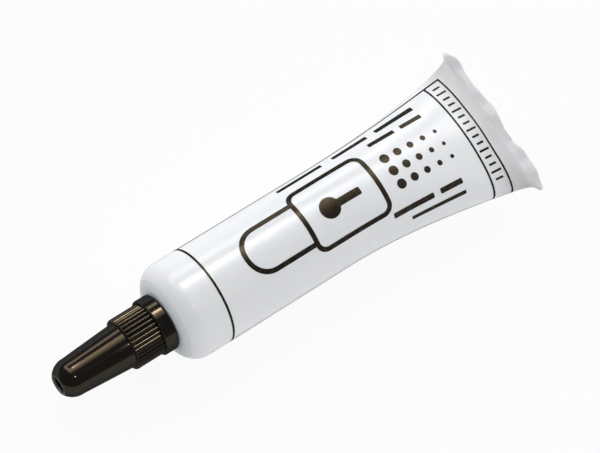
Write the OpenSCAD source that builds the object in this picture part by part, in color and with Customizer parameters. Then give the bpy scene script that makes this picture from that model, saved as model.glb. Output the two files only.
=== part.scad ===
// Graphite lock lubricant tube: a soft squeeze tube with a heat sealed tail, a moulded head with a
// threaded neck, a fine spout pressed into the neck, and a long screw cap that covers the spout.
// The long axis runs along X, from the cap's nose at -X to the sealed tail at +X. The seal lies
// level, and the flat on which the soft sleeve rests is at height zero.

/* [Sleeve] */
// Outer diameter of the round sleeve
tube_d = 19; // [18:0.5:24]
// Wall of the soft sleeve
sleeve_wall = 0.5; // [0.4:0.05:0.7]
// Length of the round stretch behind the rounded shoulder
round_len = 31.2; // [20:0.2:50]
// Length over which the sleeve flattens towards the seal
flare_len = 39.3; // [28:0.1:50]
// Length of the heat sealed strip
seal_len = 2.5; // [1.5:0.5:6]
// How far each end of the strip stands out past the flattened sleeve
seal_ear = 0.9; // [0.3:0.1:2]
// Step from the sleeve down to the strip that the sealing jaws pressed
jaw_step = 0.1; // [0.05:0.05:0.2]
// Depth by which the soft sleeve is pressed flat where it rests on a table
rest_flat = 0.15; // [0.05:0.01:0.2]

/* [Head] */
// Radius of the rounding between the shoulder's face and the sleeve
shoulder_round = 4; // [3:0.1:4.2]
// Thickness of the moulded shoulder
shoulder_wall = 1.1; // [0.8:0.1:1.6]
// Length of the head's skirt inside the round sleeve
skirt_len = 3; // [2:0.5:6]
// Wall of the head's skirt
skirt_wall = 0.8; // [0.6:0.1:1.2]
// Diameter of the neck under its thread
neck_d = 6.8; // [6.4:0.2:8]
// Length of the neck in front of the shoulder
neck_len = 6.6; // [6.6:0.2:9]
// Diameter of the neck's bore, which the spout's spigot fills
neck_bore_d = 5; // [4.6:0.1:5.2]

/* [Thread] */
// Pitch of the thread between neck and cap
thread_pitch = 2.5; // [2.2:0.1:2.6]
// Height of the thread above the neck
thread_h = 0.55; // [0.4:0.05:0.6]
// Width of a thread at its foot
thread_foot = 1.4; // [1.1:0.1:1.5]
// Width of a thread at its crest
thread_crest = 0.8; // [0.5:0.1:0.9]
// Turns of thread on the neck, and in the cap
thread_turns = 1.75; // [1:0.25:1.75]

/* [Spout] */
// Length of the spout in front of its flange
spout_len = 12.1; // [9:0.5:16]
// Diameter of the spout's straight tip
spout_tip_d = 2.4; // [2:0.1:3]
// Length of the spout's straight tip
spout_tip_len = 4; // [3:0.5:6]
// Rounding at the spout's tip
spout_tip_round = 0.15; // [0.1:0.05:0.3]
// Diameter of the spout where it meets its flange
spout_base_d = 3.9; // [3.4:0.1:4.4]
// Diameter of the powder channel through the tip
channel_d = 1; // [0.8:0.1:1.4]
// Thickness of the flange that rests on the neck
spout_flange_t = 0.6; // [0.4:0.1:1]
// Length of the spigot inside the neck
spigot_len = 4; // [3:0.5:6]
// Wall of the spigot at its open end
spigot_wall = 0.6; // [0.4:0.1:0.9]

/* [Cap] */
// Wall of the cap round the spout
dome_wall = 1.45; // [1:0.05:1.6]
// Radial space between the spout and the inside of the cap
dome_space = 0.95; // [0.9:0.05:1.2]
// Thickness of the cap's nose behind its dimple
nose_web = 1.65; // [1.2:0.05:2.5]
// Depth of the moulding dimple in the nose
dimple_depth = 1; // [0.5:0.1:1.5]
// Width of the narrow rim round the dimple
dimple_rim = 0.15; // [0.1:0.05:0.3]
// Wall between the cap's thread and the foot of the grip ribs
grip_wall = 0.65; // [0.5:0.05:1]
// Height of the grip ribs
rib_h = 0.3; // [0.2:0.02:0.4]
// Number of grip ribs round the cap
rib_count = 34; // [24:1:40]
// Length of the smooth rim at the cap's open end
rim_len = 2.6; // [2:0.1:3.5]
// Wall of the smooth rim
rim_wall = 1.45; // [1.1:0.05:1.8]
// Rounding of the cap's outer edges
edge_round = 0.3; // [0.15:0.05:0.4]
// Material in front of the seal washer
step_wall = 0.75; // [0.6:0.05:1.2]
// Length of the plug in the cap that stops the spout's channel
plug_len = 1.3; // [1:0.1:2]

/* [Seal washer] */
// Thickness of the soft washer between cap and spout flange
washer_t = 0.5; // [0.4:0.1:1]

/* [Powder] */
// Height of the powder's surface below the tube's axis
powder_drop = 0.6; // [0.2:0.2:3]
// Length of the slope at the powder's front and rear end
powder_slope = 6; // [3:0.5:8]

/* [Clearances] */
// Radial clearance between a thread's crest and the wall that faces it
thread_gap = 0.1; // [0.06:0.02:0.16]
// Gap between the cap's open end and the shoulder
seat_gap = 0.15; // [0.1:0.05:0.3]
// Gap in front of the spout's tip
tip_gap = 0.3; // [0.2:0.05:0.5]
// Gap on each face of the seal washer
washer_gap = 0.05; // [0.02:0.01:0.1]
// Radial clearance of the washer round the spout
washer_play = 0.25; // [0.15:0.05:0.4]
// Radial clearance of the cap's plug in the channel
plug_gap = 0.08; // [0.04:0.02:0.1]
// Gap between the head and the inside of the sleeve that is welded to it
weld_gap = 0.03; // [0.02:0.01:0.1]
// Gap between the powder and the sleeve
powder_gap = 0.2; // [0.1:0.05:0.4]

/* [Hidden] */

// Overrun of a cut past the face that it leaves, and sink of a joined piece into its carrier
overrun = 0.5;
sink = 0.2;

// How far the flare's wall laps over the round stretch's wall, on its outside and on its inside
flare_lap = 0.02;

// Facets round a turned piece, round the sleeve, round a turn of thread and along an arc
$fn = 96;
sleeve_sides = 72;
thread_sides = 30;
arc_steps = 10;

// Radii that several pieces share
tube_r = tube_d / 2;
neck_r = neck_d / 2;
spigot_r = neck_bore_d / 2;
channel_r = channel_d / 2;
tip_r = spout_tip_d / 2;
spout_base_r = spout_base_d / 2;
cap_bore_r = neck_r + thread_h + thread_gap;
cap_crest_r = neck_r + thread_gap;
grip_r = cap_bore_r + grip_wall;
rim_r = cap_bore_r + rim_wall;
dome_in_tip_r = tip_r + dome_space;
dome_in_base_r = spout_base_r + dome_space;
nose_r = dome_in_tip_r + dome_wall;
dome_base_r = dome_in_base_r + dome_wall;

// Places along the axis, measured from the cap's nose towards the tail
dome_in_x = dimple_depth + nose_web;
spout_tip_x = dome_in_x + tip_gap;
spout_flange_x = spout_tip_x + spout_len;
neck_top_x = spout_flange_x + spout_flange_t;
shoulder_x = neck_top_x + neck_len;
cap_end_x = shoulder_x - seat_gap;
washer_x = spout_flange_x - washer_gap - washer_t;
step_x = washer_x - washer_gap;
grip_x = step_x - step_wall;
rim_x = cap_end_x - rim_len;
sleeve_x = shoulder_x + shoulder_round;
flare_x = sleeve_x + round_len;
seal_x = flare_x + flare_len;
total_len = seal_x + seal_len;

// The round nose: a ball cut off by the flat front
nose_flat_share = 0.54;
nose_flat_r = nose_r * nose_flat_share;
nose_centre_x = sqrt(nose_r * nose_r - nose_flat_r * nose_flat_r);
dimple_r = nose_flat_r - dimple_rim;

// Angles, from the tube's side, at which the sleeve's front edge ends on the shoulder's rounding and
// at which the head's rounding steps down under it
sleeve_edge_angle = 55;
head_edge_angle = sleeve_edge_angle + asin(weld_gap / shoulder_round);

// Half height and half width of the sleeve's oval section: seen from the side the flare is a quarter
// of an ellipse, and the oval widens as it flattens, so that its girth stays that of the round sleeve
seal_t = 2 * sleeve_wall;
flat_half_h = seal_t / 2 + jaw_step;
flat_half_w = PI * tube_r / 2;
seal_half_w = flat_half_w + seal_ear;
girth_share = 0.686;
function flare_share(x) = max(0, min(1, (x - flare_x) / flare_len));
function half_h(x) = flat_half_h + (tube_r - flat_half_h) * sqrt(1 - pow(flare_share(x), 2));
function half_w(x) =
    let (
        flatness = half_h(x) / tube_r,
        widest = pow(PI / 2, 2)
    )
    tube_r * sqrt(widest - girth_share * flatness - (widest - 1 - girth_share) * pow(flatness, 2));

// Steps along the flare, closer together where it flattens fast, and the share of the flare at which
// the sleeve's two walls meet inside
flare_steps = 20;
inner_end_share = 0.99;

// Turns a shape that is made along +Z, from the nose, into the part's frame
module along_axis() {
    translate([-total_len / 2, 0, tube_r - rest_flat])
        rotate([0, 90, 0])
            children();
}

// Points of an arc round [r, x], for a turned outline
function arc(r, x, radius, from, to) = [
    for (i = [0 : arc_steps])
        let (a = from + (to - from) * i / arc_steps)
        [r + radius * cos(a), x + radius * sin(a)]
];

// Skin over a chain of rings with equally many points, closed at its first and last ring. Seen from
// the last ring, the points of a ring run anticlockwise.
module loft(rings) {
    count = len(rings[0]);
    last = len(rings) - 1;
    sides = [
        for (i = [0 : last - 1], k = [0 : count - 1])
            let (
                a = i * count + k,
                b = i * count + (k + 1) % count
            )
            each [[a, b + count, b], [a, a + count, b + count]]
    ];
    first_end = [for (k = [0 : count - 1]) k];
    last_end = [for (k = [0 : count - 1]) last * count + count - 1 - k];
    polyhedron(points = [for (ring = rings) each ring], faces = concat(sides, [first_end, last_end]));
}

// Helical ridge from the wall at wall_r to crest_r, outward on the neck and inward in the cap. It is
// sunk into the wall and fades out at both ends.
module thread_ridge(wall_r, crest_r, first_x) {
    steps = ceil(thread_turns * thread_sides);
    outward = sign(crest_r - wall_r);
    foot_r = wall_r - outward * sink;
    fade_share = 0.12;
    faded_share = 0.1;
    function grown(i) = min(1, faded_share + min(i, steps - i) / (steps * fade_share));
    loft([
        for (i = [0 : steps])
            let (
                turn = thread_turns * i / steps,
                x = first_x + thread_pitch * turn,
                top_r = foot_r + (crest_r - foot_r) * grown(i),
                foot_w = outward * thread_foot / 2,
                crest_w = outward * thread_crest / 2
            )
            [
                for (p = [[foot_r, -foot_w], [foot_r, foot_w], [top_r, crest_w], [top_r, -crest_w]])
                    [p[0] * cos(360 * turn), p[0] * sin(360 * turn), x + p[1]]
            ]
    ]);
}

// Oval ring of the sleeve at x, with its width along Y
function oval(x, w, h) = [
    for (k = [0 : sleeve_sides - 1])
        [h * cos(360 * k / sleeve_sides), w * sin(360 * k / sleeve_sides), x]
];

// Rings along the flare, set in from its outside. The first one lies within the round stretch's wall,
// so that the flare grips the end of that wall on both sides.
function flare_rings(inset, first_inset, end_share) = [
    oval(flare_x - sink, tube_r - first_inset, tube_r - first_inset),
    for (i = [0 : flare_steps])
        let (x = flare_x + flare_len * end_share * sin(90 * i / flare_steps))
        oval(x, half_w(x) - inset, half_h(x) - inset)
];
function reversed(list) = [for (i = [len(list) - 1 : -1 : 0]) list[i]];

module tube_sleeve() {
    round_r = tube_r - shoulder_round;
    inner_round = shoulder_round - sleeve_wall;
    color([0.93, 0.93, 0.92])
        along_axis() {
            difference() {
                union() {
                    rotate_extrude()
                        polygon(concat(
                            arc(round_r, sleeve_x, shoulder_round, -sleeve_edge_angle, 0),
                            [
                                [tube_r, flare_x],
                                [tube_r - sleeve_wall, flare_x]
                            ],
                            arc(round_r, sleeve_x, inner_round, 0, -sleeve_edge_angle)
                        ));
                    loft(concat(
                        reversed(flare_rings(
                            sleeve_wall + flare_lap, sleeve_wall * 2 / 3, inner_end_share
                        )),
                        flare_rings(-flare_lap, sleeve_wall / 3, 1)
                    ));
                }
                translate([tube_r - rest_flat, -tube_r, shoulder_x])
                    cube([overrun, tube_d, total_len]);
            }
            translate([-seal_t / 2, -seal_half_w, seal_x - sink])
                cube([seal_t, 2 * seal_half_w, seal_len + sink]);
        }
}

module tube_head() {
    round_r = tube_r - shoulder_round;
    hidden_round = shoulder_round - sleeve_wall - weld_gap;
    hidden_r = round_r + hidden_round;
    inner_round = max(hidden_round - skirt_wall, sink);
    color([0.9, 0.91, 0.91])
        along_axis() {
            rotate_extrude()
                polygon(concat(
                    [
                        [spigot_r, neck_top_x],
                        [neck_r, neck_top_x],
                        [neck_r, shoulder_x]
                    ],
                    arc(round_r, sleeve_x, shoulder_round, -90, -head_edge_angle),
                    arc(round_r, sleeve_x, hidden_round, -head_edge_angle, 0),
                    [
                        [hidden_r, sleeve_x + skirt_len],
                        [hidden_r - skirt_wall, sleeve_x + skirt_len]
                    ],
                    arc(
                        hidden_r - skirt_wall - inner_round,
                        shoulder_x + shoulder_wall + inner_round,
                        inner_round, 0, -90
                    ),
                    [[spigot_r, shoulder_x + shoulder_wall]]
                ));
            thread_ridge(neck_r, neck_r + thread_h, neck_top_x + thread_foot / 2 + sink);
        }
}

module spout() {
    spigot_end_x = neck_top_x + spigot_len;
    color([0.86, 0.87, 0.86])
        along_axis()
            rotate_extrude()
                polygon([
                    [channel_r, spout_tip_x],
                    [tip_r - spout_tip_round, spout_tip_x],
                    [tip_r, spout_tip_x + spout_tip_round],
                    [tip_r, spout_tip_x + spout_tip_len],
                    [spout_base_r, spout_flange_x],
                    [neck_r, spout_flange_x],
                    [neck_r, neck_top_x],
                    [spigot_r, neck_top_x],
                    [spigot_r, spigot_end_x],
                    [spigot_r - spigot_wall, spigot_end_x],
                    [channel_r, spout_flange_x]
                ]);
}

// Outline of the ribbed grip: a row of rounded ribs on the grip's foot circle
module rib_outline() {
    points_a_rib = 6;
    polygon([
        for (i = [0 : rib_count * points_a_rib - 1])
            let (
                a = 360 * i / (rib_count * points_a_rib),
                r = grip_r + rib_h * pow(sin(180 * i / points_a_rib), 2)
            )
            [r * cos(a), r * sin(a)]
    ]);
}

module screw_cap() {
    rib_r = grip_r + rib_h;
    reach = norm([dome_base_r, grip_x - nose_centre_x]);
    nose_side_angle = atan2(grip_x - nose_centre_x, dome_base_r) - acos(nose_r / reach);
    nose_front_angle = atan2(-nose_centre_x, nose_flat_r);
    color([0.07, 0.065, 0.06])
        along_axis() {
            difference() {
                union() {
                    rotate_extrude()
                        polygon(concat(
                            [[0, 0]],
                            arc(0, nose_centre_x, nose_r, nose_front_angle, nose_side_angle),
                            [
                                [dome_base_r, grip_x],
                                [dome_base_r, rim_x + sink],
                                [0, rim_x + sink]
                            ]
                        ));
                    difference() {
                        translate([0, 0, grip_x])
                            linear_extrude(rim_x + sink - grip_x)
                                rib_outline();
                        rotate_extrude()
                            polygon([
                                [rib_r - edge_round, grip_x - overrun],
                                [rib_r - edge_round, grip_x],
                                [rib_r + sink, grip_x + edge_round + sink],
                                [rib_r + overrun, grip_x + edge_round + sink],
                                [rib_r + overrun, grip_x - overrun]
                            ]);
                    }
                    rotate_extrude()
                        polygon(concat(
                            [[0, rim_x]],
                            arc(rim_r - edge_round, rim_x + edge_round, edge_round, -90, 0),
                            arc(rim_r - edge_round, cap_end_x - edge_round, edge_round, 0, 90),
                            [[0, cap_end_x]]
                        ));
                }
                rotate_extrude()
                    polygon([
                        [0, dome_in_x],
                        [dome_in_tip_r, dome_in_x],
                        [dome_in_base_r, step_x],
                        [cap_bore_r, step_x],
                        [cap_bore_r, cap_end_x + overrun],
                        [0, cap_end_x + overrun]
                    ]);
                translate([0, 0, -overrun])
                    cylinder(r = dimple_r, h = dimple_depth + overrun);
            }
            translate([0, 0, dome_in_x - sink])
                cylinder(r = channel_r - plug_gap, h = plug_len + sink);
            thread_ridge(
                cap_bore_r, cap_crest_r,
                neck_top_x + thread_foot / 2 + sink - thread_pitch / 2
            );
        }
}

module seal_washer() {
    color([0.75, 0.75, 0.72])
        along_axis()
            translate([0, 0, washer_x])
                difference() {
                    cylinder(r = neck_r, h = washer_t);
                    translate([0, 0, -overrun])
                        cylinder(r = spout_base_r + washer_play, h = washer_t + 2 * overrun);
                }
}

// Bed of loose powder along the underside, sloping down to nothing at its front and rear end
module graphite_powder() {
    inset = sleeve_wall + powder_gap;
    first_x = sleeve_x + skirt_len + powder_gap;
    rear_share = 0.94;
    last_x = flare_x + flare_len * rear_share;
    rings = 24;
    arc_points = 24;
    thin_share = 0.85;
    color([0.2, 0.2, 0.21])
        along_axis()
            loft([
                for (i = [0 : rings])
                    let (
                        x = first_x + (last_x - first_x) * (1 - cos(180 * i / rings)) / 2,
                        w = half_w(x) - inset,
                        h = half_h(x) - inset,
                        from_end = min(x - first_x, last_x - x),
                        sloped = h * max(0, 1 - from_end / powder_slope),
                        level = min(h * thin_share, powder_drop + sloped),
                        edge_angle = acos(level / h)
                    )
                    [
                        for (k = [0 : arc_points])
                            let (a = edge_angle * (2 * k / arc_points - 1))
                            [h * cos(a), w * sin(a), x]
                    ]
            ]);
}

tube_sleeve();
tube_head();
spout();
screw_cap();
seal_washer();
graphite_powder();
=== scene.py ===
"""A soft squeeze tube of lock lubricant powder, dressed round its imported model."""

import math

import bpy
from mathutils import Matrix, Vector


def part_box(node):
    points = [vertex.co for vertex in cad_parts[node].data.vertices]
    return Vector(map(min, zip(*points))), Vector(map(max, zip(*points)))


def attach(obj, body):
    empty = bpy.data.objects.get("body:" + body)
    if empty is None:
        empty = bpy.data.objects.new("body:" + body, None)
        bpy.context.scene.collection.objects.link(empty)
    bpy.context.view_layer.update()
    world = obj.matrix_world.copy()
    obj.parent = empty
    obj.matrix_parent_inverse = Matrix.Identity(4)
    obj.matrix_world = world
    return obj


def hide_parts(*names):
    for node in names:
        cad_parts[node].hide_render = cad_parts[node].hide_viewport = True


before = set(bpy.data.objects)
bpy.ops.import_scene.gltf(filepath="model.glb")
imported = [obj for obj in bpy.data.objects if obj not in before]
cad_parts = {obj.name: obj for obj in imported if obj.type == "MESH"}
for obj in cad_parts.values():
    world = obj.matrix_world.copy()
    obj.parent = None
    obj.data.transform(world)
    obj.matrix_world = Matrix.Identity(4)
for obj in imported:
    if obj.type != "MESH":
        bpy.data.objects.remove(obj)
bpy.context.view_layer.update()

bl_info = {
    "name": "Lock Powder Tube",
    "version": (1, 0, 0),
    "blender": (4, 5, 0),
    "location": "View3D > Sidebar > Powder Tube",
    "description": "Models and finishes a squeeze tube of lock lubricant powder with its screw cap",
    "category": "Object",
}

MM = 0.001
HAIR = 1e-7  # metres within which two places count as one
NOSE_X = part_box("screw_cap")[0].x
SLEEVE_LOW, SLEEVE_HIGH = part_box("tube_sleeve")
AXIS_Z = (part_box("spout")[0].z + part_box("spout")[1].z) / 2

# Sizes in millimetres that more than one piece follows
SHOULDER_X, SHOULDER_R, SHOULDER_ROUND = 26.25, 5.5, 4.0  # centre and radius of the shoulder's arc
THREAD_LEAD, THREAD_TURNS = 2.5, 1.75
THREAD_FOOT, THREAD_TOP = 1.4, 0.8  # widths of the thread's ridge
RING_LINE = (30.75, 31.2)  # where the line round the sleeve's front lies, behind the nose


def along(mm):
    """Place on the X axis of a point that lies so many millimetres behind the cap's nose."""
    return NOSE_X + mm * MM


# Sizes and colours


class SleeveLook(bpy.types.PropertyGroup):
    radius: bpy.props.FloatProperty(
        name="Radius", description="Outer radius of the round sleeve",
        default=9.5 * MM, unit="LENGTH", precision=5,
    )
    wall: bpy.props.FloatProperty(
        name="Wall", description="Wall of the soft sleeve",
        default=0.5 * MM, unit="LENGTH", precision=5,
    )
    flare_start: bpy.props.FloatProperty(
        name="Flare start", description="Distance from the cap's nose to the start of the flare",
        default=57.45 * MM, unit="LENGTH", precision=5,
    )
    flare_length: bpy.props.FloatProperty(
        name="Flare length", description="Length over which the sleeve flattens",
        default=39.3 * MM, unit="LENGTH", precision=5,
    )
    seal_width: bpy.props.FloatProperty(
        name="Seal half width", description="Half the width of the sealed strip",
        default=SLEEVE_HIGH.y, unit="LENGTH", precision=5,
    )
    tail_drift: bpy.props.FloatProperty(
        name="Tail drift", description="How far the soft tail lies off the tube's middle",
        default=0.8 * MM, unit="LENGTH", precision=5,
    )
    tail_wave: bpy.props.FloatProperty(
        name="Tail wave", description="Height of the waves in the flat tail",
        default=0.22 * MM, unit="LENGTH", precision=5,
    )
    colour: bpy.props.FloatVectorProperty(
        name="Colour", description="Colour of the sleeve",
        subtype="COLOR", size=3, min=0, max=1, default=(0.89, 0.895, 0.91),
    )
    # Painted shade: the zone before the seal is darker than the sleeve's white, with darker warm
    # patches; it is also rougher there
    shaded_tail_colour: bpy.props.FloatVectorProperty(
        name="Tail colour", description="Colour of the duller zone next to the seal",
        subtype="COLOR", size=3, min=0, max=1, default=(0.6, 0.6, 0.615),
    )
    shaded_tail_patch_colour: bpy.props.FloatVectorProperty(
        name="Tail shade", description="Warmer colour of the patches in the duller zone",
        subtype="COLOR", size=3, min=0, max=1, default=(0.575, 0.56, 0.55),
    )
    # Painted shade: the pressed strip is darker than the sleeve's white
    shaded_seal_colour: bpy.props.FloatVectorProperty(
        name="Seal colour", description="Colour of the pressed strip",
        subtype="COLOR", size=3, min=0, max=1, default=(0.69, 0.69, 0.71),
    )
    # Painted shade: the film is greyed where it turns away from the eye, a dark line along the
    # outline
    outline_shade_colour: bpy.props.FloatVectorProperty(
        name="Rim colour", description="Greyer colour where the film turns away",
        subtype="COLOR", size=3, min=0, max=1, default=(0.5, 0.5, 0.52),
    )


class CapLook(bpy.types.PropertyGroup):
    ribs: bpy.props.IntProperty(
        name="Ribs", description="Number of grip ribs", default=34, min=20, max=48
    )
    rib_height: bpy.props.FloatProperty(
        name="Rib height", description="Height of the grip ribs",
        default=0.3 * MM, unit="LENGTH", precision=5,
    )
    colour: bpy.props.FloatVectorProperty(
        name="Colour", description="Colour of the cap's plastic",
        subtype="COLOR", size=3, min=0, max=1, default=(0.003, 0.0033, 0.0045),
    )
    # Partly painted highlight: the lip is rubbed, and its colour is lightened to stand in for the
    # highlight the lip catches
    worn_and_highlit_colour: bpy.props.FloatVectorProperty(
        name="Worn edge", description="Colour of the rubbed lip round the nose's dimple",
        subtype="COLOR", size=3, min=0, max=1, default=(0.17, 0.168, 0.165),
    )
    # Painted reflection: tints what the cap and the ink reflect warm
    painted_reflection_tint: bpy.props.FloatVectorProperty(
        name="Reflection tint", description="Warm tint of what the cap reflects",
        subtype="COLOR", size=3, min=0, max=1, default=(1.0, 0.75, 0.45),
    )


class PrintLook(bpy.types.PropertyGroup):
    film: bpy.props.FloatProperty(
        name="Film", description="How far the ink stands on the sleeve",
        default=0.03 * MM, unit="LENGTH", precision=6,
    )
    stroke: bpy.props.FloatProperty(
        name="Stroke", description="Width of the padlock's strokes",
        default=0.95 * MM, unit="LENGTH", precision=5,
    )
    line: bpy.props.FloatProperty(
        name="Line", description="Width of the frame's lines",
        default=0.42 * MM, unit="LENGTH", precision=5,
    )
    frame_upper: bpy.props.FloatProperty(
        name="Frame's far side",
        description="Distance round the sleeve from its top line to the frame's far line",
        default=12.1 * MM, unit="LENGTH", precision=5,
    )
    frame_lower: bpy.props.FloatProperty(
        name="Frame's near side",
        description="Distance round the sleeve from its top line to the frame's near line",
        default=15.6 * MM, unit="LENGTH", precision=5,
    )
    colour: bpy.props.FloatVectorProperty(
        name="Ink", description="Colour of the ink",
        subtype="COLOR", size=3, min=0, max=1, default=(0.008, 0.0065, 0.0055),
    )


class StageLook(bpy.types.PropertyGroup):
    key_power: bpy.props.FloatProperty(
        name="Key light", description="Power of the small light above the object",
        default=0.5, min=0, unit="POWER",
    )
    softboxes: bpy.props.FloatProperty(
        name="Softboxes", description="Strength of the two long softboxes in reflections",
        default=4.4, min=0,
    )
    sky: bpy.props.FloatProperty(
        name="Sky", description="Strength of the even light from the room", default=0.5, min=0
    )
    ceiling: bpy.props.FloatProperty(
        name="Ceiling", description="Strength of the dark ceiling in reflections",
        default=0.15, min=0,
    )


# Finishes


class Wire:
    """A node's output socket: sums and products of wires and numbers add Math nodes."""

    def __init__(self, nodes, socket):
        self.nodes = nodes
        self.socket = socket

    def maths(self, operation, first, second):
        return self.nodes.add("ShaderNodeMath", {"operation": operation}, [first, second])

    def __add__(self, other):
        return self.maths("ADD", self, other)

    def __radd__(self, other):
        return self.maths("ADD", other, self)

    def __sub__(self, other):
        return self.maths("SUBTRACT", self, other)

    def __rsub__(self, other):
        return self.maths("SUBTRACT", other, self)

    def __mul__(self, other):
        return self.maths("MULTIPLY", self, other)

    def __rmul__(self, other):
        return self.maths("MULTIPLY", other, self)

    def __truediv__(self, other):
        return self.maths("DIVIDE", self, other)

    def __rtruediv__(self, other):
        return self.maths("DIVIDE", other, self)

    def __pow__(self, other):
        return self.maths("POWER", self, other)

    def __rpow__(self, other):
        return self.maths("POWER", other, self)

    def clipped(self):
        return self.nodes.add("ShaderNodeClamp", {}, [self, 0.0, 1.0])


class NodeTree:
    """The nodes of a finish or of the world."""

    def __init__(self, tree):
        self.tree = tree

    def feed(self, socket, value):
        if isinstance(value, Wire):
            self.tree.links.new(value.socket, socket)
        else:
            socket.default_value = value

    def add(self, kind, settings, inputs, output=0):
        """Adds a node with its settings, feeds its sockets and returns one of its outputs."""
        node = self.tree.nodes.new(kind)
        for name, value in settings.items():
            setattr(node, name, value)
        pairs = inputs.items() if isinstance(inputs, dict) else enumerate(inputs)
        for key, value in pairs:
            self.feed(node.inputs[key], value)
        return Wire(self, node.outputs[output]) if node.outputs else None

    def parts(self, vector):
        """The X, Y and Z parts of a vector."""
        split = self.add("ShaderNodeSeparateXYZ", {}, [vector]).socket.node
        return [Wire(self, socket) for socket in split.outputs]

    def ranged(self, value, low, high, at_low, at_high):
        """One number at low and another at high, in proportion between them."""
        inputs = {
            "Value": value, "From Min": low, "From Max": high, "To Min": at_low, "To Max": at_high
        }
        return self.add("ShaderNodeMapRange", {}, inputs)

    def rising(self, value, low, high):
        """Zero at low, one at high, smooth between them."""
        settings = {"interpolation_type": "SMOOTHSTEP"}
        inputs = {"Value": value, "From Min": low, "From Max": high}
        return self.add("ShaderNodeMapRange", settings, inputs)

    def ray(self, kind):
        """One for rays of this kind, otherwise zero."""
        return self.add("ShaderNodeLightPath", {}, {}, "Is " + kind + " Ray")

    def glow(self, colour, strength, kind="ShaderNodeEmission"):
        return self.add(kind, {}, {"Color": (*colour, 1.0), "Strength": strength})

    def mixed(self, factor, first, second):
        """One shader, and as much of the second as the factor says."""
        return self.add("ShaderNodeMixShader", {}, [factor, first, second])


class Finish(NodeTree):
    """A procedural finish: a material with one Principled shader, fed by nodes."""

    def __init__(self, name, **constants):
        self.material = bpy.data.materials.new(name)
        self.material.use_nodes = True
        super().__init__(self.material.node_tree)
        self.shader = self.tree.nodes["Principled BSDF"]
        self.surface = Wire(self, self.shader.outputs[0])
        self.out = self.tree.nodes["Material Output"].inputs["Surface"]
        for socket, value in constants.items():
            self.shader.inputs[socket.replace("_", " ")].default_value = value

    def place(self, scale=(1, 1, 1)):
        """Object coordinates in metres, times a scale."""
        point = self.add("ShaderNodeTexCoord", {}, {}, "Object")
        return self.add("ShaderNodeMapping", {}, {"Vector": point, "Scale": scale})

    def noise(self, scale, detail=2.0, stretch=(1, 1, 1)):
        """Cloudy noise with so many clouds to the metre; a stretch below 1 draws them out."""
        inputs = {"Vector": self.place(stretch), "Scale": scale, "Detail": detail}
        return self.add("ShaderNodeTexNoise", {}, inputs, "Fac")

    def turned_away(self):
        """Zero where the surface faces the eye, one at its outline."""
        return self.add("ShaderNodeLayerWeight", {}, {}, "Facing")

    def blend(self, factor, first, second):
        """One colour, and as much of the second as the factor says."""
        a, b = (part if isinstance(part, Wire) else (*part, 1.0) for part in (first, second))
        # A Mix node has its colours in the sockets 6 and 7, and the result in output 2
        return self.add("ShaderNodeMix", {"data_type": "RGBA"}, {0: factor, 6: a, 7: b}, 2)

    def bumped(self, height, strength, distance):
        inputs = {"Height": height, "Strength": strength, "Distance": distance}
        self.feed(self.shader.inputs["Normal"], self.add("ShaderNodeBump", {}, inputs))

    def paint(self, **inputs):
        for socket, value in inputs.items():
            self.feed(self.shader.inputs[socket.replace("_", " ")], value)
        return self.material

    def painted_dark_outline(self, colour):
        """Painted shade: mixes the gloss out for a matt surface where the surface turns away, so
        the outline stays dark as if it reflected a dark room.
        """
        inputs = {"Base Color": colour, "Roughness": 0.9, "Specular IOR Level": 0.1}
        matt = self.add("ShaderNodeBsdfPrincipled", {}, inputs)
        fade = self.rising(self.turned_away(), 0.12, 0.66) * 0.92
        self.feed(self.out, self.mixed(fade, self.surface, matt))


def scaled(colour, factor):
    return [part * factor for part in colour]


def sleeve_finish(look):
    """White polyethylene, glossy along the body, duller at the tail and milky where pressed;
    painted shade darkens the tail, the pressed strip and the outline.
    """
    finish = Finish("white_sleeve", IOR=1.5, Subsurface_Weight=0.12, Subsurface_Scale=0.0006)
    x = finish.parts(finish.place())[0]
    wander = (finish.noise(170.0, stretch=(0.2, 1, 1)) - 0.5) * (2.6 * MM)
    tail = finish.rising(x, along(87), along(95.5))
    pressed = finish.rising(x + wander, along(96.6), along(97.5))
    mottle = finish.noise(90.0, detail=3.0)
    waves = finish.noise(260.0, detail=1.0, stretch=(0.35, 1, 1))
    pleats = finish.noise(420.0, stretch=(0.22, 1, 1)) * tail
    finish.bumped(waves * 0.35 + pleats * 1.1, strength=0.22, distance=0.0006)
    white = finish.blend(mottle * 0.35, look.colour, scaled(look.colour, 0.97))
    # Painted shade: the zone before the seal is darkened, with darker warm patches
    painted_tail_shade = finish.blend(finish.noise(240.0), look.shaded_tail_colour, look.shaded_tail_patch_colour)
    # Painted shade: the pressed strip gets its darker colour
    film = finish.blend(pressed, finish.blend(tail, white, painted_tail_shade), look.shaded_seal_colour)
    # Painted shade: a greyer outline where the film turns away from the eye
    rim = finish.rising(finish.turned_away(), 0.7, 0.95) * 0.55
    return finish.paint(
        Base_Color=finish.blend(rim, film, look.outline_shade_colour),
        Roughness=(0.2 + mottle * 0.06 + tail * 0.3 - pressed * 0.14).clipped(),
    )


def head_finish(look):
    """Moulded polyethylene, a little bluer and duller than the sleeve."""
    finish = Finish("moulded_head", IOR=1.5, Subsurface_Weight=0.15, Subsurface_Scale=0.0008)
    mottle = finish.noise(300.0, detail=3.0)
    finish.bumped(finish.noise(2600.0, detail=1.0), strength=0.12, distance=0.00004)
    blue_shares = (0.84, 0.87, 0.92)
    blue = [part * share for part, share in zip(look.colour, blue_shares)]
    return finish.paint(
        Base_Color=finish.blend(mottle * 0.5, blue, look.colour),
        Roughness=(0.34 + mottle * 0.1).clipped(),
    )


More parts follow.
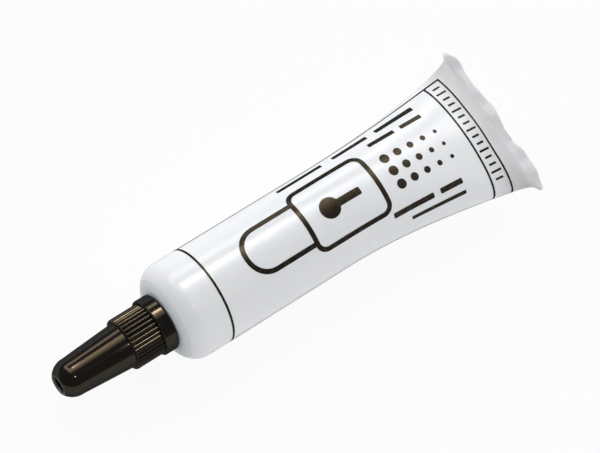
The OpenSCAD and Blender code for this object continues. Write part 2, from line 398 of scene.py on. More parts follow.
def cap_finish(look):
    """Black polypropylene with a moulded gloss and a rubbed lip at its nose, with a painted warm
    tint on its reflections, a painted highlight lightening the lip and painted shade at its
    outline.
    """
    # The specular tint is a painted reflection colour: it makes what the cap reflects look warm
    finish = Finish("black_cap", IOR=1.5, Specular_Tint=(*look.painted_reflection_tint, 1.0))
    mottle = finish.noise(420.0, detail=3.0)
    finish.bumped(finish.noise(900.0, stretch=(0.12, 1, 1)), strength=0.05, distance=0.0001)
    x, y, z = finish.parts(finish.place())
    off_axis_mm = ((y * y + (z - AXIS_Z) * (z - AXIS_Z)) ** 0.5) / MM
    lip = finish.rising(off_axis_mm, 1.6, 1.75) * (1 - finish.rising(off_axis_mm, 1.9, 2.15))
    # The rubbed lip; its lighter colour is partly a painted highlight on the lip
    worn_and_highlit = lip * (1 - finish.rising(x, along(0.25), along(0.6))) * (0.4 + mottle * 0.9)
    black = finish.blend(mottle, look.colour, scaled(look.colour, 1.7))
    base = finish.blend(worn_and_highlit.clipped(), black, look.worn_and_highlit_colour)
    # Painted shade: a dark outline where the cap turns away
    finish.painted_dark_outline(base)
    return finish.paint(
        Base_Color=base, Roughness=(0.11 + mottle * 0.05 + worn_and_highlit * 0.3).clipped()
    )


def spout_finish():
    """Natural polyethylene, milky, with light that spreads under its surface."""
    finish = Finish("natural_spout", IOR=1.5, Subsurface_Weight=0.4, Subsurface_Scale=0.001)
    mottle = finish.noise(500.0, detail=3.0)
    finish.bumped(mottle, strength=0.08, distance=0.00008)
    return finish.paint(
        Base_Color=finish.blend(mottle, (0.7, 0.71, 0.7), (0.76, 0.77, 0.75)),
        Roughness=(0.36 + mottle * 0.1).clipped(),
    )


def foam_finish():
    """Fine closed foam of the seal washer."""
    finish = Finish("foam_washer", IOR=1.45)
    inputs = {"Vector": finish.place(), "Scale": 5200.0}
    cells = finish.add("ShaderNodeTexVoronoi", {"feature": "F1"}, inputs, "Distance")
    finish.bumped(cells, strength=0.5, distance=0.0001)
    return finish.paint(
        Base_Color=finish.blend(cells.clipped(), (0.5, 0.5, 0.47), (0.62, 0.62, 0.59)),
        Roughness=0.85,
    )


def graphite_finish():
    """Loose graphite: dull dark grey with bright flakes."""
    finish = Finish("graphite_powder", IOR=1.9)
    grain = finish.noise(5200.0, detail=4.0)
    flakes = finish.rising(finish.noise(9000.0), 0.62, 0.72)
    finish.bumped(grain, strength=0.9, distance=0.0002)
    return finish.paint(
        Base_Color=finish.blend(grain, (0.025, 0.026, 0.028), (0.075, 0.077, 0.08)),
        Roughness=(0.8 - flakes * 0.45).clipped(),
        Metallic=(flakes * 0.7).clipped(),
    )


def ink_finish(look, tint):
    """Glossy black ink, with a painted warm bronze tint on its reflections and painted shade at its
    outline.
    """
    # Painted reflection: the specular tint makes what the ink reflects look warm bronze
    finish = Finish(
        "black_ink", IOR=1.5, Specular_IOR_Level=0.3, Specular_Tint=(*tint, 1.0)
    )
    mottle = finish.noise(800.0, detail=3.0)
    finish.bumped(mottle, strength=0.04, distance=0.00005)
    base = finish.blend(mottle, look.colour, scaled(look.colour, 2.2))
    # Painted shade: a dark outline where the ink turns away
    finish.painted_dark_outline(base)
    return finish.paint(Base_Color=base, Roughness=(0.22 + mottle * 0.1).clipped())


# Modelling steps


def active():
    return bpy.context.view_layer.objects.active


def deselect():
    if bpy.context.mode != "OBJECT":
        bpy.ops.object.mode_set(mode="OBJECT")
    bpy.ops.object.select_all(action="DESELECT")


def take(piece):
    """Makes a piece the active one, and the only one selected."""
    deselect()
    bpy.context.view_layer.objects.active = piece
    piece.select_set(True)


def edit(kind="VERT"):
    bpy.ops.object.mode_set(mode="EDIT")
    bpy.ops.mesh.select_mode(type=kind)


def edit_all(kind="VERT"):
    """Enters edit mode with the whole piece selected."""
    edit(kind)
    bpy.ops.mesh.select_all(action="SELECT")


def pick(chosen):
    """Selects the vertices of the active piece for which chosen(vertex) holds."""
    bpy.ops.object.mode_set(mode="EDIT")
    bpy.ops.mesh.select_all(action="DESELECT")
    bpy.ops.object.mode_set(mode="OBJECT")
    for vertex in active().data.vertices:
        vertex.select = bool(chosen(vertex))
    edit()


def pick_open_edges():
    bpy.ops.mesh.select_all(action="DESELECT")
    bpy.ops.mesh.select_non_manifold(extend=False, use_boundary=True)


def off_axis(vertex):
    return math.hypot(vertex.co.y, vertex.co.z - AXIS_Z)


def widen(factor):
    """Scales what is selected away from the tube's axis."""
    centre = (0, 0, AXIS_Z)
    bpy.ops.transform.resize(value=(1, factor, factor), center_override=centre)


def flatten(height, chosen):
    """Presses the vertices for which chosen(vertex) holds flat at this height."""
    pick(chosen)
    bpy.ops.transform.resize(value=(1, 1, 0), center_override=(0, 0, height))


def fix_place():
    """Moves the active object's place, turn and scale into its mesh."""
    bpy.ops.object.transform_apply(location=True, rotation=True, scale=True)


def modify(kind, **settings):
    """Gives the active piece a modifier with these settings, and applies it."""
    modifier = active().modifiers.new(kind.lower(), kind)
    for name, value in settings.items():
        setattr(modifier, name, value)
    bpy.ops.object.modifier_apply(modifier=modifier.name)


def outward():
    """Turns all faces outwards."""
    edit_all("FACE")
    bpy.ops.mesh.normals_make_consistent(inside=False)


def settle(name, material, body, slot, *nodes, angle=32):
    """Names and shades the active piece, and lets it ride on its body, for its CAD nodes."""
    bpy.ops.object.mode_set(mode="OBJECT")
    piece = active()
    piece.name = name
    piece.data.name = name
    fix_place()
    bpy.ops.object.shade_smooth_by_angle(angle=math.radians(angle))
    piece.data.materials.clear()
    piece.data.materials.append(material)
    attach(piece, body)
    if nodes:
        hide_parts(*nodes)
    deselect()


def ring(sides, x, radius):
    """Starts a piece with a selected ring round the tube's axis."""
    deselect()
    bpy.ops.mesh.primitive_circle_add(
        vertices=sides, radius=radius, location=(x, 0, AXIS_Z), rotation=(0, math.pi / 2, 0)
    )
    fix_place()
    edit_all("EDGE")


def draw_on(x, step, wide, high):
    """Extrudes the selected ring by a step to x and scales it there."""
    bpy.ops.mesh.extrude_region_move(TRANSFORM_OT_translate={"value": (step, 0, 0)})
    bpy.ops.transform.resize(value=(1, wide, high), center_override=(x, 0, AXIS_Z))


def turned(outline, sides, hollow):
    """Turns an outline of (place behind the nose, radius) in mm; a hollow one closes on itself."""
    places = [(along(x), r * MM) for x, r in outline]
    ring(sides, *places[0])
    for (x, r), (next_x, next_r) in zip(places, places[1:]):
        draw_on(next_x, next_x - x, next_r / r, next_r / r)
    pick_open_edges()
    if hollow:
        bpy.ops.mesh.bridge_edge_loops()
    else:
        bpy.ops.mesh.edge_face_add()
        for x, r in (places[0], places[-1]):
            pick(lambda v: abs(v.co.x - x) < HAIR and off_axis(v) < r + HAIR)
            bpy.ops.mesh.merge(type="CENTER")
    outward()


def arc(x, r, radius, first, last, steps):
    """Points of an arc round (x, r): at 0 degrees it stands out sideways, at -90 to the nose."""
    angles = [math.radians(first + (last - first) * i / steps) for i in range(steps + 1)]
    return [(x + radius * math.sin(a), r + radius * math.cos(a)) for a in angles]


def thread(wall, crest, first_x):
    """The thread's ridge from a wall to its crest, in mm, which fades into the wall at its ends."""
    sunk, fade_steps, steps_a_turn = 0.1, 5, 40
    foot = wall - sunk if crest > wall else wall + sunk
    middle = (along(first_x), 0, (foot + crest) / 2 * MM)
    deselect()
    bpy.ops.mesh.primitive_plane_add(size=1, location=middle)
    bpy.ops.transform.rotate(value=math.pi / 2, orient_axis="X", center_override=middle)
    bpy.ops.object.transform_apply(location=False, rotation=True, scale=True)
    active().scale = (THREAD_FOOT * MM, 1, abs(crest - foot) * MM)
    fix_place()
    top = crest * MM
    pick(lambda v: abs(v.co.z - top) < 0.001 * MM)
    bpy.ops.transform.resize(
        value=(THREAD_TOP / THREAD_FOOT, 1, 1), center_override=(along(first_x), 0, top)
    )
    bpy.ops.object.mode_set(mode="OBJECT")
    steps = int(steps_a_turn * THREAD_TURNS)
    modify(
        "SCREW", axis="X", angle=2 * math.pi * THREAD_TURNS,
        screw_offset=THREAD_LEAD * THREAD_TURNS * MM, steps=steps, render_steps=steps,
    )
    active().location = (0, 0, AXIS_Z)
    fix_place()
    edit_all()
    bpy.ops.mesh.fill_holes(sides=4)
    for step in range(fade_steps):
        ends = (step, steps - step)
        pick(lambda v: v.index // 4 in ends and abs(off_axis(v) - top) < 0.01 * MM)
        widen((wall + (crest - wall) * step / fade_steps) / crest)
    outward()


def eased(value):
    """Zero below 0, one above 1, smooth between them."""
    share = min(1.0, max(0.0, value))
    return share * share * (3 - 2 * share)


def relaxed(look, point):
    """Where a point of the straight sleeve lies on the soft one, whose tail drifts and waves."""
    behind = point.x - NOSE_X
    flattened = (behind - look.flare_start) / look.flare_length
    across = point.y / look.seal_width
    waves = 0.6 * math.sin(6.4 * across + 0.5) + 0.4 * math.sin(11.6 * across + 2.0)
    folds = 0.6 * math.sin(15.0 * across + 1.0) + 0.4 * math.sin(23.0 * across)
    press_start = look.flare_start + 0.93 * look.flare_length
    pressed = eased((behind - press_start) / (5.4 * MM))
    # How far the trimmed edge lies back, in mm: broad waves, a ripple and the cut far corner
    trim = 0.25 - 0.4 * math.cos(8.73 * (across - 0.12)) + 0.12 * math.sin(19 * across + 1)
    trim += 0.9 * eased((across - 0.72) / 0.28)
    seal_start, seal_length = 96.9 * MM, 2.35 * MM
    share = max(0.0, behind - seal_start) / seal_length
    lift = eased((flattened - 0.72) / 0.28) * waves + 0.8 * pressed * folds
    return Vector((
        point.x - trim * share * MM,
        point.y - look.tail_drift * eased(flattened),
        point.z + look.tail_wave * lift,
    ))


def relax(look):
    """Lets the active piece follow the soft sleeve's shape."""
    bpy.ops.object.mode_set(mode="OBJECT")
    for vertex in active().data.vertices:
        vertex.co = relaxed(look, vertex.co)


class PieceOperator:
    """What all the operators of this add-on share."""

    bl_options = {"REGISTER", "UNDO"}


# The pieces


def sleeve_section(look, x):
    """Half width and half height of the sleeve so far behind the nose, at almost even girth."""
    share = min(1.0, max(0.0, (x - look.flare_start) / look.flare_length))
    flat = 0.6 * MM
    high = flat + (look.radius - flat) * math.sqrt(1 - share * share)
    flatness = high / look.radius
    widest = (math.pi / 2) ** 2
    bend = 0.686  # keeps the ellipse's girth within 1.1 % of the round sleeve's
    wide_squared = widest - bend * flatness - (widest - 1 - bend) * flatness * flatness
    return look.radius * math.sqrt(wide_squared), high


class POWDERTUBE_OT_sleeve(PieceOperator, bpy.types.Operator):
    """Model the soft sleeve with its flattened, heat sealed tail"""

    bl_idname = "powdertube.sleeve"
    bl_label = "Sleeve"
    sides = 192
    front_angle, front_steps = -55, 14
    flare_steps = 48
    lining_share = 0.985  # share of the flare that is hollow
    body_rings = (30, 38, 46, 52, 57.45)  # behind the nose, in mm
    seal_strip = (  # place behind the nose, half width and half height, in mm
        (97.0, 15.0, 0.5), (97.2, 15.25, 0.45), (97.4, 15.6, 0.43), (97.65, 15.8, 0.42),
        (98.2, 15.82, 0.42), (98.6, 15.75, 0.42), (98.85, 15.6, 0.41), (99.05, 15.3, 0.38),
        (99.18, 14.9, 0.32), (99.25, 14.4, 0.22),
    )

    def execute(self, context):
        look = context.scene.powdertube_sleeve
        chain = self.stations(look)
        x, wide, high = chain[0]
        ring(self.sides, NOSE_X + x, MM)
        bpy.ops.transform.resize(
            value=(1, wide / MM, high / MM), center_override=(NOSE_X + x, 0, AXIS_Z)
        )
        for (x, wide, high), (next_x, next_wide, next_high) in zip(chain, chain[1:]):
            draw_on(NOSE_X + next_x, next_x - x, next_wide / wide, next_high / high)
        bpy.ops.mesh.edge_face_add()
        pick_open_edges()
        bpy.ops.mesh.edge_face_add()
        outward()
        flatten(SLEEVE_LOW.z, lambda v: v.co.z < SLEEVE_LOW.z)
        relax(look)
        settle("sleeve", sleeve_finish(look), "tube", "sleeve", "tube_sleeve", angle=50)
        return {"FINISHED"}

    def stations(self, look):
        """Rings of the wall, up the lining to the front and back along the outside to the tail."""
        outside = self.rounded_front(SHOULDER_ROUND)
        outside += [(x * MM, look.radius, look.radius) for x in self.body_rings]
        for i in range(1, self.flare_steps + 1):
            share = math.sin(math.pi / 2 * i / self.flare_steps)
            x = look.flare_start + look.flare_length * share
            outside.append((x, *sleeve_section(look, x)))
        outside += [(x * MM, wide * MM, high * MM) for x, wide, high in self.seal_strip]
        lining_end = look.flare_start + look.flare_length * self.lining_share
        lining = self.rounded_front(SHOULDER_ROUND - look.wall / MM)[:-1]
        for x, wide, high in outside[self.front_steps:]:
            if x < lining_end:
                lining.append((x, wide - look.wall, high - look.wall))
        return lining[::-1] + outside

    def rounded_front(self, radius):
        points = arc(SHOULDER_X, SHOULDER_R, radius, self.front_angle, 0, self.front_steps)
        return [(x * MM, r * MM, r * MM) for x, r in points]


class POWDERTUBE_OT_head(PieceOperator, bpy.types.Operator):
    """Model the moulded shoulder with its threaded neck"""

    bl_idname = "powdertube.head"
    bl_label = "Head"

    def execute(self, context):
        material = head_finish(context.scene.powdertube_sleeve)
        neck, bore, skirt = 3.4, 2.5, 8.17  # radii in mm
        sleeve_edge = -55.4  # degrees; behind it the shoulder steps in under the sleeve
        outline = (
            [(15.8, bore), (15.65, 2.65), (15.65, 3.25), (15.8, neck), (22.05, neck)]
            + [(22.25, 3.6), (22.25, 5.5)]
            + arc(SHOULDER_X, SHOULDER_R, SHOULDER_ROUND, -86, sleeve_edge, 8)
            + arc(SHOULDER_X, SHOULDER_R, 3.47, sleeve_edge, 0, 8)
            + [(29.25, 8.97), (29.25, skirt), (26.25, skirt), (23.35, 5.6), (23.35, bore)]
        )
        turned(outline, sides=144, hollow=True)
        settle("head_moulding", material, "tube", "head", "tube_head")
        thread(neck, crest=3.95, first_x=16.55)
        settle("neck_thread", material, "tube", "head")
        return {"FINISHED"}


class POWDERTUBE_OT_spout(PieceOperator, bpy.types.Operator):
    """Model the fine spout with its powder channel"""

    bl_idname = "powdertube.spout"
    bl_label = "Spout"

    def execute(self, context):
        outline = [
            (3.1, 0.5), (2.98, 0.55), (2.95, 0.65), (2.95, 1.0), (2.99, 1.12), (3.1, 1.2),
            (6.95, 1.2), (7.3, 1.23), (14.6, 1.9), (14.9, 2.05), (15.05, 2.3), (15.05, 3.3),
            (15.15, 3.4), (15.55, 3.4), (15.65, 3.3), (15.65, 2.5), (19.65, 2.5), (19.65, 1.9),
            (15.05, 0.5),
        ]
        turned(outline, sides=96, hollow=True)
        settle("fine_spout", spout_finish(), "tube", "spout", "spout")
        return {"FINISHED"}


class POWDERTUBE_OT_washer(PieceOperator, bpy.types.Operator):
    """Model the soft washer between the cap and the spout's flange"""

    bl_idname = "powdertube.washer"
    bl_label = "Seal washer"

    def execute(self, context):
        outline = [
            (14.56, 2.2), (14.5, 2.26), (14.5, 3.34), (14.56, 3.4),
            (14.94, 3.4), (15.0, 3.34), (15.0, 2.26), (14.94, 2.2),
        ]
        turned(outline, sides=72, hollow=True)
        settle("foam_washer", foam_finish(), "washer", "washer", "seal_washer")
        return {"FINISHED"}


class POWDERTUBE_OT_cap(PieceOperator, bpy.types.Operator):
    """Model the long screw cap with its dimpled nose, ribbed grip and smooth rim"""

    bl_idname = "powdertube.cap"
    bl_label = "Screw cap"
    grip = 4.7  # radius between the ribs, in mm
    rib_sides = 8
    rib_growth = {  # share of the ribs' height at each ring of the grip, by its place in mm
        13.7: 0.35, 13.76: 0.7, 13.9: 0.93, 14.1: 1.0, 16.8: 1.0, 19.5: 1.0
    }

    def execute(self, context):
        look = context.scene.powdertube_cap
        material = cap_finish(look)
        bore, rim_round = 4.05, 0.3
        outline = (
            [(1.0, 0.05), (1.0, 1.6), (0.9, 1.74), (0.12, 1.79), (0.02, 1.84), (0.0, 1.9)]
            + arc(3.03, 0, 3.6, -57.3, 3.2, 16)
            + [(6.0, 3.8), (9.6, 4.05), (13.45, 4.31), (13.6, 4.34), (13.66, 4.42)]
            + [(13.7, 4.6), (13.7, 4.65), (13.76, 4.69)]
            + [(x, self.grip) for x in (13.9, 14.1, 16.8, 19.5)]
            + [(19.5, 5.22)]
            + arc(19.8, 5.2, rim_round, -75, 0, 5)
            + [(19.95, 5.5), (21.65, 5.5)]
            + arc(21.8, 5.2, rim_round, 0, 90, 6)
            + [(22.1, 4.25), (21.95, bore), (14.45, bore), (14.45, 2.9), (2.65, 2.15)]
            + [(2.65, 0.42), (3.85, 0.42), (3.95, 0.34), (3.95, 0.05)]
        )
        turned(outline, sides=look.ribs * self.rib_sides, hollow=False)
        self.raise_ribs(look)
        settle("cap_moulding", material, "cap", "cap", "screw_cap", angle=38)
        thread(bore, crest=3.5, first_x=15.3)
        settle("cap_thread", material, "cap", "cap")
        return {"FINISHED"}

    def raise_ribs(self, look):
        """Lifts the grip's vertices step by step up each rib's flanks, less at its front end."""
        sides = look.ribs * self.rib_sides
        for x, share in self.rib_growth.items():
            for flank in range(1, self.rib_sides // 2 + 1):
                lift = look.rib_height * share * math.sin(math.pi * flank / self.rib_sides)

                def on_rib(v):
                    turn = math.atan2(v.co.y, v.co.z - AXIS_Z) / (2 * math.pi)
                    return (
                        abs(v.co.x - along(x)) < 0.002 * MM
                        and (self.grip - 0.08) * MM < off_axis(v) < (self.grip + 0.005) * MM
                        and round(turn * sides) % self.rib_sides in (flank, self.rib_sides - flank)
                    )

                pick(on_rib)
                widen(1 + lift / (self.grip * MM))


class POWDERTUBE_OT_powder(PieceOperator, bpy.types.Operator):
    """Heap the loose graphite along the underside of the sleeve"""

    bl_idname = "powdertube.powder"
    bl_label = "Graphite powder"

    def execute(self, context):
        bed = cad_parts["graphite_powder"].data.copy()
        heap = bpy.data.objects.new("heap", bed)
        context.scene.collection.objects.link(heap)
        take(heap)
        edit_all()
        bpy.ops.mesh.remove_doubles(threshold=0.01 * MM)
        bpy.ops.object.mode_set(mode="OBJECT")
        modify("REMESH", mode="VOXEL", voxel_size=0.45 * MM)
        clumps = bpy.data.textures.new("powder_clumps", "CLOUDS")
        clumps.noise_scale = 2.4 * MM
        modify("DISPLACE", texture=clumps, strength=0.3 * MM, mid_level=0.9)
        relax(context.scene.powdertube_sleeve)
        settle("powder_heap", graphite_finish(), "tube", "powder", "graphite_powder", angle=60)
        return {"FINISHED"}


# The print: flat shapes on the unrolled sleeve, in mm behind the nose and round from its top line


def section_place(look, x, around, lift):
    """Point on the sleeve at x, so far round it from its top line, lifted off the surface."""
    wide, high = sleeve_section(look, x - NOSE_X)
    step = math.pi / 160
    turn, gone = 0.0, 0.0
    goal = abs(around)

    def pace(angle):
        """Distance round the section for each radian at this angle."""
        return math.hypot(wide * math.cos(angle), high * math.sin(angle))

    while gone < goal:
        gone += pace(turn + step / 2) * step
        turn += step
    if gone > goal:
        turn -= (gone - goal) / pace(turn - step / 2)
    turn = math.copysign(turn, around)
    out = Vector((0, math.sin(turn) / wide, math.cos(turn) / high)).normalized()
    place = Vector((x, wide * math.sin(turn), AXIS_Z + high * math.cos(turn)))
    return relaxed(look, place) + out * lift


def flat_bar(x, around, length, width, corner=0.0):
    """A bar, with its length along the tube and its width round it."""
    deselect()
    bpy.ops.mesh.primitive_plane_add(size=1, location=(along(x), around * MM, 0))
    active().scale = (length * MM, width * MM, 1)
    fix_place()
    if corner:
        edit_all()
        bpy.ops.mesh.bevel(offset=corner * MM, segments=8, affect="VERTICES")
        bpy.ops.object.mode_set(mode="OBJECT")
    return active()


def flat_dot(x, around, radius):
    deselect()
    bpy.ops.mesh.primitive_circle_add(
        vertices=40, radius=radius * MM, fill_type="NGON", location=(along(x), around * MM, 0)
    )
    fix_place()
    return active()


def hollowed(shape, stroke):
    """Leaves only an even stroke along a flat shape's outline."""
    take(shape)
    edit_all("FACE")
    bpy.ops.mesh.inset(thickness=stroke, depth=0)
    bpy.ops.mesh.delete(type="FACE")
    bpy.ops.object.mode_set(mode="OBJECT")
    return shape


def cut_behind(shape, x):
    """Cuts a flat shape off at x and keeps what lies nearer the nose."""
    take(shape)
    edit_all()
    bpy.ops.mesh.bisect(plane_co=(along(x), 0, 0), plane_no=(1, 0, 0), clear_outer=True)
    bpy.ops.object.mode_set(mode="OBJECT")
    return shape


def cut_across(places, field, normal):
    """Cuts the piece in edit mode into fields between its lowest and highest place."""
    at = math.ceil(min(places) / field) * field
    while at < max(places):
        bpy.ops.mesh.select_all(action="SELECT")
        bpy.ops.mesh.bisect(plane_co=[at * part for part in normal], plane_no=normal)
        at += field


def printed(name, shapes, sleeve, look, material):
    """Joins flat shapes, cuts them into small fields and lays them on the sleeve as ink."""
    take(shapes[0])
    for shape in shapes:
        shape.select_set(True)
    if len(shapes) > 1:
        bpy.ops.object.join()
    art = active().data
    xs = [v.co.x for v in art.vertices]
    ys = [v.co.y for v in art.vertices]
    edit()
    cut_across(xs, 1.0 * MM, (1, 0, 0))
    cut_across(ys, 0.5 * MM, (0, 1, 0))
    bpy.ops.mesh.select_all(action="SELECT")
    bpy.ops.mesh.quads_convert_to_tris()
    bpy.ops.mesh.normals_make_consistent(inside=False)
    bpy.ops.object.mode_set(mode="OBJECT")
    for vertex in art.vertices:
        vertex.co = section_place(sleeve, vertex.co.x, vertex.co.y, look.film)
    if sum(face.normal.z * face.area for face in art.polygons) < 0:
        edit_all("FACE")
        bpy.ops.mesh.flip_normals()
        bpy.ops.object.mode_set(mode="OBJECT")
    into_sleeve = 1.6  # the film's thickness, in heights that it stands proud
    modify("SOLIDIFY", thickness=look.film * into_sleeve, offset=-1)
    settle(name, material, "tube", "ink", angle=30)


class POWDERTUBE_OT_print(PieceOperator, bpy.types.Operator):
    """Print the plain frame, the padlock, the bars and the dots on the sleeve"""

    bl_idname = "powdertube.print"
    bl_label = "Print"
    tail_lines = (88.6, 92.4)
    bars = (  # place, distance round, length and width
        (57.0, 9.6, 10.0, 1.1), (68.5, 9.6, 8.0, 1.1), (79.0, 9.6, 9.0, 1.1),
        (74.0, 7.0, 6.0, 0.9), (81.0, 7.0, 5.0, 0.9),
        (72.0, -7.6, 9.0, 1.1), (80.5, -7.6, 5.0, 1.1), (77.0, -10.0, 12.0, 0.8),
    )

    def execute(self, context):
        look = context.scene.powdertube_print
        material = ink_finish(look, context.scene.powdertube_cap.painted_reflection_tint)
        short_tick, long_tick = 1.7, 2.4
        self.ring_line(material)
        art = {
            "frame_lines": self.frame_lines(look),
            "padlock": self.padlock(look),
            "puff_dots": [
                flat_dot(71.5 + 3.0 * i, 2.8 * row, 0.95 - 0.14 * i)
                for i in range(5)
                for row in (-1, 0, 1)
            ],
            "plain_bars": [flat_bar(*bar, corner=0.2) for bar in self.bars],
            "tail_ticks": [
                flat_bar(90.5, 1.5 * i, short_tick if i % 3 else long_tick, 0.42)
                for i in range(-7, 8)
            ],
        }
        for name, shapes in art.items():
            printed(name, shapes, context.scene.powdertube_sleeve, look, material)
        return {"FINISHED"}

    def ring_line(self, material):
        """The line round the sleeve's front end, flat where the sleeve rests."""
        front, back = RING_LINE
        inner, outer = 9.49, 9.53
        outline = [(front, inner), (front, outer), (back, outer), (back, inner)]
        turned(outline, sides=144, hollow=True)
        for radius, height in ((inner, 0.01), (outer, -0.015)):
            low = SLEEVE_LOW.z + height * MM
            reach = radius * MM
            flatten(low, lambda v: v.co.z < low and abs(off_axis(v) - reach) < 0.01 * MM)
        settle("ring_line", material, "tube", "ink")

    def frame_lines(self, look):
        """The two lines across the tail, and the sides that run to them from the ring's line."""
        line, upper, lower = (
            size / MM for size in (look.line, look.frame_upper, look.frame_lower)
        )
        first, last = RING_LINE[1], self.tail_lines[1] + line / 2
        across = [
            flat_bar(x, (upper - lower) / 2, line, upper + lower - line) for x in self.tail_lines
        ]
        sides = [
            flat_bar((first + last) / 2, side, last - first, line) for side in (upper, -lower)
        ]
        return across + sides

    def padlock(self, look):
        """A padlock that lies along the tube, with its shackle towards the nose."""
        body = hollowed(flat_bar(59.5, 0, 17.0, 13.6, corner=2.4), look.stroke)
        shackle = hollowed(flat_bar(47.0, 0, 18.0, 9.6, corner=4.6), look.stroke)
        keyhole = [flat_dot(57.0, 0, 2.05), flat_bar(61.0, 0, 5.6, 1.5, corner=0.3)]
        return [body, cut_behind(shackle, 51.0), *keyhole]


# The stage


def facing(right, back):
    """The turn of a camera or lamp with its X axis along right and its back along back."""
    return Matrix((right, back.cross(right), back)).transposed()


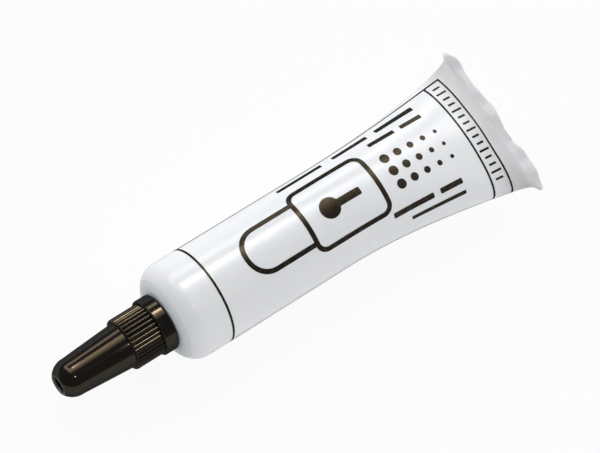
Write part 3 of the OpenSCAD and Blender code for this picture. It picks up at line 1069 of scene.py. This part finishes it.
class POWDERTUBE_OT_stage(PieceOperator, bpy.types.Operator):
    """Set up the pale floor, the soft lights and the camera"""

    bl_idname = "powdertube.stage"
    bl_label = "Stage"

    def execute(self, context):
        look = context.scene.powdertube_stage
        self.floor()
        self.key_light(look)
        self.sky(look)
        self.camera()
        context.scene.view_settings.view_transform = "Standard"
        return {"FINISHED"}

    def floor(self):
        """A pale floor just under the sleeve, almost white where the camera sees it."""
        deselect()
        bpy.ops.mesh.primitive_plane_add(size=3.0, location=(0, 0, -0.02 * MM))
        fix_place()
        floor = active()
        floor.name = "pale_floor"
        finish = Finish("pale_floor", Roughness=0.9, Specular_IOR_Level=0.2)
        grey, lighter = (0.86, 0.86, 0.86), (0.88, 0.88, 0.88)
        finish.paint(Base_Color=finish.blend(finish.noise(6.0), grey, lighter))
        mirrored = finish.ray("Glossy") + finish.ray("Transmission")
        share = (finish.ray("Camera") * 0.92 + mirrored * 0.5).clipped()
        white = finish.glow((1, 1, 1), 1.0)
        finish.feed(finish.out, finish.mixed(share, finish.surface, white))
        floor.data.materials.append(finish.material)

    def key_light(self, look):
        """A small softbox above the near side, which gives the bright dots on the cap."""
        light = bpy.data.lights.new("key_softbox", "AREA")
        light.shape = "RECTANGLE"
        light.size = light.size_y = 0.035
        light.energy = look.key_power
        lamp = bpy.data.objects.new("key_softbox", light)
        bpy.context.scene.collection.objects.link(lamp)
        place, aim = Vector((-0.07, -0.27, 0.84)), Vector((0, 0, 0.008))
        back = (place - aim).normalized()
        right = (Vector((1, 0, 0)) - back * back.x).normalized()
        lamp.location = place
        lamp.rotation_euler = facing(right, back).to_euler()

    def sky(self, look):
        """The room: what shines, what reflections show of it, and white for the camera.

        A place in it is its turn round the tube's axis, in radians up from the far side, and x,
        the share of its direction that points to the tail.
        """
        scene = bpy.context.scene
        world = scene.world or bpy.data.worlds.new("studio")
        scene.world = world
        world.use_nodes = True
        world.node_tree.nodes.clear()
        room = NodeTree(world.node_tree)
        x, y, z = room.parts(room.add("ShaderNodeTexCoord", {}, {}, "Generated"))
        turn = room.add("ShaderNodeMath", {"operation": "ARCTAN2"}, [z, y])
        # The far softboxes: one bank of light, parted by a dark gap that closes before the nose
        gap_ends = room.rising(turn, 0.90, 0.94)
        gap = (room.rising(turn, 0.53, 0.58) - gap_ends) * room.rising(x, -0.16, -0.06)
        bank = room.ranged(turn, 0.28, 0.54, 0.0, 1.1) * room.ranged(turn, 0.94, 1.45, 1.0, 0.0)
        spread = room.rising(x, -0.35, -0.15) * room.ranged(x, 0.22, 0.42, 1.0, 1.35)
        boxes = bank * (1 - gap) * spread * look.softboxes
        # A bright strip in the upper one, and the pale walls on the near side and past the tail
        strip = gap_ends * (1 - room.rising(turn, 1.02, 1.1))
        strip = strip * room.rising(x, 0.2, 0.25) * (1 - room.rising(x, 0.31, 0.35))
        near_wall = room.rising(turn, 2.79, 2.91) * 0.75
        end_wall = room.rising(x, 0.42, 0.55) * (1 - room.rising(x, 0.6, 0.75)) * 1.1
        shown = boxes * (1 + strip * 5.0) + near_wall + end_wall + look.ceiling
        level = look.sky + y * 0.58 + x * 0.2 + boxes * 0.36 + near_wall * 3.5
        gloss = room.glow((1, 1, 1), shown, "ShaderNodeBackground")
        even = room.glow((0.98, 0.99, 1.0), level, "ShaderNodeBackground")
        white = room.glow((1, 1, 1), 1.0, "ShaderNodeBackground")
        light = room.mixed(room.ray("Glossy"), even, gloss)
        seen = room.mixed(room.ray("Camera"), light, white)
        room.add("ShaderNodeOutputWorld", {}, {"Surface": seen})

    def camera(self):
        """The photograph's view: nearly from above, a little from the nose and the near side."""
        view = bpy.data.cameras.new("photo_view")
        view.lens = 159.0
        view.sensor_width = 36.0
        view.clip_start = 0.01
        camera = bpy.data.objects.new("photo_view", view)
        bpy.context.scene.collection.objects.link(camera)
        right = Vector((0.79360, -0.56526, 0.22515)).normalized()
        back = Vector((-0.36000, -0.13790, 0.92271)).normalized()
        place = Matrix.Translation((-0.168293, -0.064735, 0.451737))
        camera.matrix_world = place @ facing(right, back).to_4x4()
        bpy.context.scene.camera = camera


class POWDERTUBE_PT_pieces(bpy.types.Panel):
    """The pieces of the powder tube"""

    bl_idname = "POWDERTUBE_PT_pieces"
    bl_label = "Powder Tube"
    bl_space_type = "VIEW_3D"
    bl_region_type = "UI"
    bl_category = "Powder Tube"

    def draw(self, context):
        for group in GROUPS:
            box = self.layout.box()
            settings = getattr(context.scene, group)
            for name in settings.bl_rna.properties.keys():
                if name not in ("rna_type", "name"):
                    box.prop(settings, name)
        for operator in PIECES:
            self.layout.operator(operator.bl_idname)


GROUPS = {
    "powdertube_sleeve": SleeveLook,
    "powdertube_cap": CapLook,
    "powdertube_print": PrintLook,
    "powdertube_stage": StageLook,
}
PIECES = (
    POWDERTUBE_OT_sleeve,
    POWDERTUBE_OT_head,
    POWDERTUBE_OT_spout,
    POWDERTUBE_OT_washer,
    POWDERTUBE_OT_cap,
    POWDERTUBE_OT_powder,
    POWDERTUBE_OT_print,
    POWDERTUBE_OT_stage,
)


def register():
    for group in GROUPS.values():
        bpy.utils.register_class(group)
    for name, group in GROUPS.items():
        setattr(bpy.types.Scene, name, bpy.props.PointerProperty(type=group))
    for operator in PIECES:
        bpy.utils.register_class(operator)
    bpy.utils.register_class(POWDERTUBE_PT_pieces)


def unregister():
    bpy.utils.unregister_class(POWDERTUBE_PT_pieces)
    for operator in reversed(PIECES):
        bpy.utils.unregister_class(operator)
    for name, group in GROUPS.items():
        delattr(bpy.types.Scene, name)
        bpy.utils.unregister_class(group)


def main():
    register()
    for operator in PIECES:
        action = getattr(bpy.ops.powdertube, operator.bl_idname.split(".")[1])
        if "FINISHED" not in action():
            raise RuntimeError(operator.bl_label + " did not finish")


if __name__ == "__main__":
    main()
